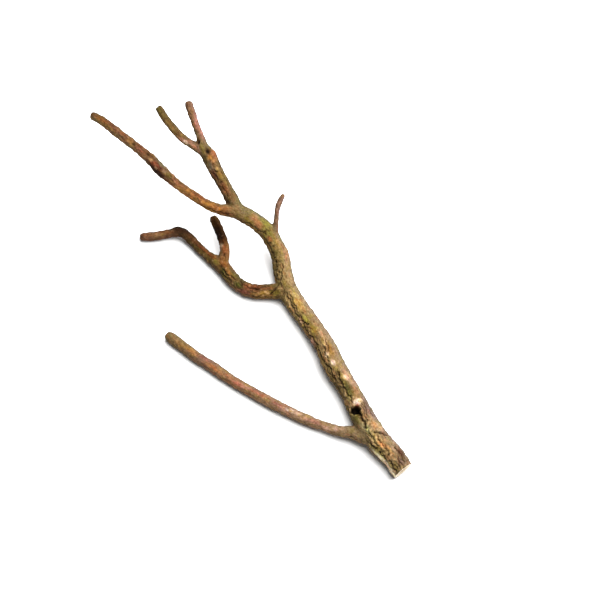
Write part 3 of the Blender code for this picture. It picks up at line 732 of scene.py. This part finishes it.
def vectors(tree, operation, *values):
    """A new node that works out a vector from vectors."""
    return add(tree, "ShaderNodeVectorMath", values, operation=operation)


def scaled(tree, value, by):
    """A new node that scales a vector or a colour by a number."""
    return add(tree, "ShaderNodeVectorMath", {0: value, "Scale": by}, operation="SCALE")


height, _ = group("Bark_height", ("INPUT", "Grain", "Vector"),
                  *[("INPUT", name, "Float", value) for name, value in BARK_SIZES.items()],
                  *[("OUTPUT", name, "Float") for name in ("Height", "Furrow", "Valley")])
sizes = add(height, "NodeGroupInput").outputs
drift = add(height, "ShaderNodeTexNoise", {"Vector": sizes["Grain"], "Scale": 1 / DRIFT_SIZE, "Detail": 1.0})
drift = vectors(height, "SUBTRACT", drift.outputs["Color"], (0.5, 0.5, 0.5))
drift = scaled(height, drift, sizes["Stray"])
winding = vectors(height, "ADD", sizes["Grain"], drift)


def ripple(spot, size, detail):
    """Noise on both sides of nothing, in cells of a size."""
    cell = vectors(height, "DIVIDE", spot, size)
    wave = add(height, "ShaderNodeTexNoise", {"Vector": cell, "Scale": 1.0, "Detail": detail})
    return maths(height, "SUBTRACT", wave, 0.5)


def folded(width, length, detail):
    """How far each point is from the nearest fold line of a grain this wide and long."""
    cell = add(height, "ShaderNodeCombineXYZ", (width, width, length))
    return maths(height, "ABSOLUTE", ripple(winding, cell, detail))


folds = folded(sizes["Furrow Width"], sizes["Furrow Length"], 0.9)
slit = add(height, "ShaderNodeMapRange", (folds, 0.004, 0.045, 1.0, 0.0), interpolation_type="SMOOTHSTEP")
breaks = add(height, "ShaderNodeTexNoise", {"Vector": winding, "Scale": 1 / BREAK_SIZE, "Detail": 0.0})
breaks = add(height, "ShaderNodeMapRange", (breaks, 0.42, 0.6, 0.1, 0.9), interpolation_type="SMOOTHSTEP")
slit = maths(height, "MULTIPLY", slit, breaks)
valley = add(height, "ShaderNodeMapRange", (folded(*RIDGE_SIZE, 1.0), 0.0, 0.11, 1.0, 0.0),
             interpolation_type="SMOOTHSTEP")
lump = ripple(sizes["Grain"], sizes["Lump Size"], 1.0)
wrinkle = ripple(winding, WRINKLE_SIZE, 1.5)
total = maths(height, "MULTIPLY", lump, sizes["Lump Height"])
for wave, high in ((wrinkle, sizes["Wrinkle Depth"]), (folds, FOLD_HEIGHT)):
    total = maths(height, "MULTIPLY_ADD", wave, high, total)
for hollow, depth in ((slit, sizes["Furrow Depth"]), (valley, sizes["Ridge Depth"])):
    depth = maths(height, "MULTIPLY", hollow, depth)
    total = maths(height, "SUBTRACT", total, depth)
add(height, "NodeGroupOutput", (total, slit, valley))

RELIEF_SIZES = {"Furrow Width": BARK_SIZES["Furrow Width"], "Furrow Depth": BARK_SIZES["Furrow Depth"],
                "Knot Depth": KNOT_HOLE_DEEP}
relief, sockets = group("Bark_relief", ("INPUT", "Geometry", "Geometry"),
                        *[("INPUT", name, "Float", value) for name, value in RELIEF_SIZES.items()],
                        ("OUTPUT", "Geometry", "Geometry"))
given = add(relief, "NodeGroupInput").outputs
fields = {}
for name in ("grain_a", "grain_b", "share", "rise", "knot", "rugged", "dark"):
    kind = "FLOAT_VECTOR" if name.startswith("grain") else "FLOAT"
    fields[name] = add(relief, "GeometryNodeInputNamedAttribute", {"Name": name}, data_type=kind)
heights = [add(relief, "GeometryNodeGroup", {
    "Grain": fields[name], "Furrow Width": given["Furrow Width"],
    "Furrow Depth": given["Furrow Depth"]}, node_tree=height).outputs for name in ("grain_a", "grain_b")]
raised, split, cleft = [
    add(relief, "ShaderNodeMix", {0: fields["share"], 2: heights[0][name], 3: heights[1][name]})
    for name in ("Height", "Furrow", "Valley")]
raised = maths(relief, "MULTIPLY_ADD", raised, fields["rugged"], fields["rise"])
split = maths(relief, "MULTIPLY", split, fields["rugged"])
split = maths(relief, "MAXIMUM", split, fields["dark"])
moved = given["Geometry"]
for name, value in (("height", raised), ("furrow", split), ("valley", cleft)):
    moved = add(relief, "GeometryNodeStoreNamedAttribute", {
        "Geometry": moved, "Name": name, "Value": value}, data_type="FLOAT", domain="POINT")
outward = add(relief, "GeometryNodeInputNormal")
lift = maths(relief, "MULTIPLY", raised, MM)
lift = scaled(relief, outward, lift)
sink = maths(relief, "MULTIPLY", fields["knot"], given["Knot Depth"])
sink = maths(relief, "MULTIPLY", sink, -MM)
sink = add(relief, "ShaderNodeCombineXYZ", {"Z": sink})
lift = vectors(relief, "ADD", lift, sink)
moved = add(relief, "GeometryNodeSetPosition", {"Geometry": moved, "Offset": lift})
# No bark goes below the ground.
spot = add(relief, "GeometryNodeInputPosition")
spot = vectors(relief, "MAXIMUM", spot, (-9.0, -9.0, 0.0))
moved = add(relief, "GeometryNodeSetPosition", {"Geometry": moved, "Position": spot})
whole = add(relief, "GeometryNodeRealizeInstances", (moved,))
painted = add(relief, "GeometryNodeSetMaterial", (whole,))
add(relief, "NodeGroupOutput", (painted,))

wood = put("wood", skin)
barked = wood.modifiers.new("barked", "NODES")
barked.node_group = relief
for name, value in RELIEF_SIZES.items():
    barked[sockets[name]] = value
skin = plain_mesh(wood)


# The saw cut and the partings
# A handsaw took the branch off its tree, square across the butt. The other
# cuts are where the model's own parts meet, and close up to a hair's breadth.
SAW_AT = Vector((168.9, -196.0, 12.0)) * MM
SAW_FACES = Vector((0.62, -0.77, 0.0)).normalized()
SAW_REACH = 60 * MM
SAW_RINGS = (0.97, 0.93, 0.89, 0.84, 0.78, 0.71, 0.63, 0.55, 0.46, 0.37, 0.28, 0.19, 0.1)
PITH_OFF = Vector((-0.5, 0.2, 0.8)) * MM
KERF = 0.06
KERF_REACH = 1.45
KERF_NEAR = 2.5 * MM

shape = bmesh.new()
shape.from_mesh(skin)
ring = shape.verts.layers.float.new("ring")


def slice_at(near, at, way, dist, drop=False):
    """Cut what is round some points along a plane, and drop what lies beyond it."""
    around = [edge for vert in near for edge in vert.link_edges]
    around += [face for vert in near for face in vert.link_faces]
    bmesh.ops.bisect_plane(shape, geom=near + list(dict.fromkeys(around)), plane_co=at,
                           plane_no=way, dist=dist, clear_outer=drop)


slice_at([vert for vert in shape.verts if (vert.co - SAW_AT).length < SAW_REACH],
         SAW_AT, SAW_FACES, 1e-7, True)
rim_edges = [edge for edge in shape.edges if edge.is_boundary]
vert = rim_edges[0].verts[0]
rim_edges = set(rim_edges)
loop = []
while rim_edges:
    edge = next(edge for edge in vert.link_edges if edge in rim_edges)
    rim_edges.remove(edge)
    edge.smooth = False
    vert[ring] = 1.0
    loop.append(vert)
    vert = edge.other_vert(vert)
pith = sum((vert.co for vert in loop), Vector()) / len(loop) + PITH_OFF
last = loop
for out in SAW_RINGS:
    now = []
    for vert in loop:
        spot = pith.lerp(vert.co, out)
        rough = noise.noise(spot / MM * 0.8) * 0.12 + noise.noise(spot / MM * 0.25) * 0.25
        new = shape.verts.new(spot - SAW_FACES * (0.12 - rough * 0.5) * MM * (1 - out) ** 0.3)
        new[ring] = out
        now.append(new)
    for i in range(len(loop)):
        j = (i + 1) % len(loop)
        shape.faces.new((last[i], last[j], now[j], now[i])).material_index = 1
    last = now
centre = shape.verts.new(pith)
for i in range(len(loop)):
    shape.faces.new((last[i], last[(i + 1) % len(loop)], centre)).material_index = 1
cap = [face for face in shape.faces if face.material_index == 1]
shape.normal_update()
if cap[0].normal.dot(SAW_FACES) < 0:
    bmesh.ops.reverse_faces(shape, faces=cap)

for name, distance in PARTING.items():
    at, wide, way = place(limbs[name], distance)
    at, way, wide = Vector(at) * MM, Vector(way), (float(wide) * KERF_REACH + 2) * MM
    for side in (-1, 1):
        close = [vert for vert in shape.verts
                 if abs((vert.co - at).dot(way)) < KERF_NEAR and (vert.co - at).length < wide]
        slice_at(close, at + way * side * KERF / 2 * MM, way, 1e-8)
    middles = [(face, face.calc_center_median() - at) for face in shape.faces]
    waste = [face for face, off in middles if abs(off.dot(way)) < KERF * 0.499 * MM and off.length < wide]
    bmesh.ops.delete(shape, geom=waste, context="FACES")
    open_edges = [edge for edge in shape.edges if edge.is_boundary]
    filled = bmesh.ops.holes_fill(shape, edges=open_edges, sides=0)["faces"]
    bmesh.ops.triangulate(shape, faces=filled)
    for edge in open_edges:
        if edge.is_valid:
            edge.smooth = False
loose = [vert for vert in shape.verts if not vert.link_faces]
bmesh.ops.delete(shape, geom=loose, context="VERTS")
skin.materials.clear()
shape.to_mesh(skin)
shape.free()


# Bark
# Thin, dull outer bark: corky and furrowed on the stem, smooth and scaly on
# the shoots. Painted shade darkens its furrows and pits, and pale flecks on
# its highest ridges are partly rubbed bark, partly painted highlight.
# The colours of each limb are in the points of its skin.
FURROW_SHADE = (*linear("#33200a"), 1)
RUBBED_AND_HIGHLIGHT = (*linear("#b08c68"), 1)
ALGAE_TINT = (0.97, 1.02, 0.5)
RED_TINT = (1.16, 0.8, 0.68)
PALE_TINT = (1.5, 1.42, 1.45)
DARK_TINT = (0.72, 0.56, 0.4)
GRIT_SIZE = 1.2
FLECK_SIZE = 4


def towards(tree, amount, colour, other):
    """A colour, drawn towards another by an amount from 0 to 1."""
    return add(tree, "ShaderNodeMix", {0: amount, 6: colour, 7: other}, data_type="RGBA").outputs[2]


def bark(name):
    """The bark of the whole branch, under the name of one limb's bark."""
    material, tree, surface = material_of(name)
    surface["Specular IOR Level"].default_value = 0.06
    values = {name: add(tree, "ShaderNodeAttribute", attribute_name=name).outputs
              for name in ("grain_a", "share", "tone", "height", "furrow", "rugged", "valley")}
    high, rough = values["height"]["Fac"], values["rugged"]["Fac"]
    here = add(tree, "ShaderNodeTexCoord").outputs["Object"]
    # Drifts of algae and red inner skin, scales of skin, and fibres along the
    # grain. Each has its width and length, start, detail and roughness.
    marks = {}
    for name, wide, long, start, detail, uneven in (
            ("drift", 5, 12, (0, 0, 0), 3.0, 0.65), ("scale", 1.7, 2.6, (7, 3, 5), 1.5, 0.55),
            ("fibre", 1.1, 5, (0, 0, 0), 3.0, 0.6)):
        stretch = add(tree, "ShaderNodeMapping", {
            "Vector": values["grain_a"]["Vector"], "Location": start,
            "Scale": (1 / wide, 1 / wide, 1 / long)})
        marks[name] = add(tree, "ShaderNodeTexNoise", {
            "Vector": stretch, "Scale": 1.0, "Detail": detail, "Roughness": uneven})
    # Grains of cork and dirt.
    grit = add(tree, "ShaderNodeTexNoise", {
        "Vector": here, "Scale": 1 / (GRIT_SIZE * MM), "Detail": 2.0, "Roughness": 0.7})
    colour = values["tone"]["Color"]
    for tint, name, start, end, most in (
            (ALGAE_TINT, "drift", 0.51, 0.63, 0.7), (RED_TINT, "drift", 0.47, 0.36, 0.75),
            (PALE_TINT, "scale", 0.56, 0.68, 0.75), (DARK_TINT, "scale", 0.46, 0.34, 0.85)):
        amount = add(tree, "ShaderNodeMapRange", (marks[name], start, end, 0.0, most))
        tinted = vectors(tree, "MULTIPLY", colour, tint)
        colour = towards(tree, amount, colour, tinted)
    # Streaks and grains vary the light and dark. Raised bark is painted lighter and
    # valleys darker: partly the ridges' own paler wear, partly painted light and shade.
    clear = add(tree, "ShaderNodeMapRange", (values["share"]["Fac"], 0.25, 0.5, 1.0, 0.0))
    streak = add(tree, "ShaderNodeMapRange", (marks["fibre"], 0.3, 0.7, 0.74, 1.26))
    shade = add(tree, "ShaderNodeMix", {0: clear, 2: 1.0, 3: streak})
    cleft = maths(tree, "MULTIPLY", values["valley"]["Fac"], rough)
    for value, start, end, low, most in (
            (grit, 0.3, 0.7, 0.72, 1.28), (high, -1.2, 1.2, 0.62, 1.34), (cleft, 0.0, 1.0, 1.08, 0.58)):
        part = add(tree, "ShaderNodeMapRange", (value, start, end, low, most))
        shade = maths(tree, "MULTIPLY", shade, part)
    colour = scaled(tree, colour, shade)
    # Pale flecks on the highest ridges: partly rubbed bark, partly painted highlight.
    bare_and_highlight = add(tree, "ShaderNodeTexNoise", {
        "Vector": here, "Scale": 1 / (FLECK_SIZE * MM), "Detail": 2.0, "Roughness": 0.6})
    bare_and_highlight = maths(tree, "MULTIPLY_ADD", high, 0.06, bare_and_highlight)
    bare_and_highlight = add(tree, "ShaderNodeMapRange", (bare_and_highlight, 0.62, 0.72, 0.0, 0.6))
    bare_and_highlight = maths(tree, "MULTIPLY", bare_and_highlight, rough)
    colour = towards(tree, bare_and_highlight, colour, RUBBED_AND_HIGHLIGHT)
    # Painted shade: furrows, pits, cracks and the knot hole are drawn towards dark brown.
    sunk = add(tree, "ShaderNodeMapRange", (values["furrow"]["Fac"], 0.2, 0.9, 0.0, 0.85))
    colour = towards(tree, sunk, colour, FURROW_SHADE)
    # Painted shade: the deepest pits and furrows are darkened almost to black.
    deep = add(tree, "ShaderNodeMapRange", (values["furrow"]["Fac"], 0.6, 0.95, 1.0, 0.12))
    colour = scaled(tree, colour, deep)
    dull = add(tree, "ShaderNodeMapRange", (grit, 0.3, 0.7, 0.72, 0.92))
    bumps = maths(tree, "MULTIPLY", marks["fibre"], clear)
    bumps = maths(tree, "MULTIPLY_ADD", grit, 0.6, bumps)
    bump = add(tree, "ShaderNodeBump", {"Height": bumps, "Distance": 0.0007, "Strength": 0.6})
    for name, node in (("Base Color", colour), ("Roughness", dull), ("Normal", bump)):
        tree.links.new(node.outputs[0], surface[name])
    return material


# Sawn end
# Cream sapwood, cut across by a coarse handsaw. It has fine growth rings, a
# darker heart and a thin rim of brown bark.
RING_STOPS = ((0.0, "#7a5a36"), (0.05, "#8a6c4a"), (0.34, "#b29a76"), (0.72, "#d2c2a4"),
              (0.93, "#e6dfd0"), (0.955, "#7c5c3c"), (1.0, "#38271a"))
RING_COUNT = 66.0
WANDER_SIZE = 6
TOOTH_SIZE = 0.9

sawn, tree, surface = material_of("Sawn_sapwood")
surface["Roughness"].default_value = 0.8
out = add(tree, "ShaderNodeAttribute", attribute_name="ring").outputs["Fac"]
here = add(tree, "ShaderNodeTexCoord").outputs["Object"]
wander = add(tree, "ShaderNodeTexNoise", {"Vector": here, "Scale": 1 / (WANDER_SIZE * MM), "Detail": 1.0})
wander = maths(tree, "MULTIPLY_ADD", wander, 0.05, out)
rings = maths(tree, "MULTIPLY", wander, RING_COUNT)
rings = maths(tree, "SINE", rings)
rings = add(tree, "ShaderNodeMapRange", (rings, -1.0, 1.0, 0.72, 1.04))
base = add(tree, "ShaderNodeValToRGB", (out,))
stops = base.color_ramp.elements
for at, _ in RING_STOPS[1:-1]:
    stops.new(at)
for stop, (_, code) in zip(stops, RING_STOPS):
    stop.color = (*linear(code), 1)
cut = scaled(tree, base, rings)
teeth = add(tree, "ShaderNodeTexNoise", {"Vector": here, "Scale": 1 / (TOOTH_SIZE * MM), "Detail": 3.0})
bump = add(tree, "ShaderNodeBump", {"Height": teeth, "Distance": 0.0006, "Strength": 0.5})
tree.links.new(cut.outputs[0], surface["Base Color"])
tree.links.new(bump.outputs[0], surface["Normal"])

# Every limb, on its own
# Each loose piece of skin is named for the limb whose free end it has, and
# takes that limb's slot. It stands for the limb's own solid.
SLOTS = {"main_stem": "stem_bark", "left_limb": "limb_bark", "right_limb": "limb_bark",
         "right_limb_twig": "twig_bark", "lower_limb": "twig_bark", "spur_twig": "twig_bark",
         "middle_limb": "dark_bark", "middle_twig": "dark_bark"}
# The dark bark covers the middle limb and its twig; the twig's near black is painted shadow.
BARKS = {"stem_bark": bark("Furrowed_stem_bark"), "limb_bark": bark("Smooth_limb_bark"),
         "twig_bark": bark("Scaly_shoot_bark"), "dark_bark": bark("Dark_bark_and_painted_shadow")}
BUTT_POINT = 6

skin.materials.append(BARKS["stem_bark"])
skin.materials.append(sawn)
wood = put("wood", skin)
bpy.ops.object.select_all(action="DESELECT")
bpy.context.view_layer.objects.active = wood
wood.select_set(True)
bpy.ops.object.mode_set(mode="EDIT")
bpy.ops.mesh.select_all(action="SELECT")
bpy.ops.mesh.separate(type="LOOSE")
bpy.ops.object.mode_set(mode="OBJECT")
loose = list(bpy.context.selected_objects)
for name, limb in limbs.items():
    free_end = limb["route"][BUTT_POINT if name == "main_stem" else -1, :3] * MM
    piece = min(loose, key=lambda one: np.linalg.norm(points_of(one.data) - free_end, axis=1).min())
    loose.remove(piece)
    piece.name = name + "_bark"
    piece.data.name = name + "_bark"
    piece.data.materials[0] = BARKS[SLOTS[name]]
    if name != "main_stem":
        piece.data.materials.pop(index=1)
    for part in piece.data.polygons:
        part.use_smooth = True
    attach(piece, "root")
    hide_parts(name)
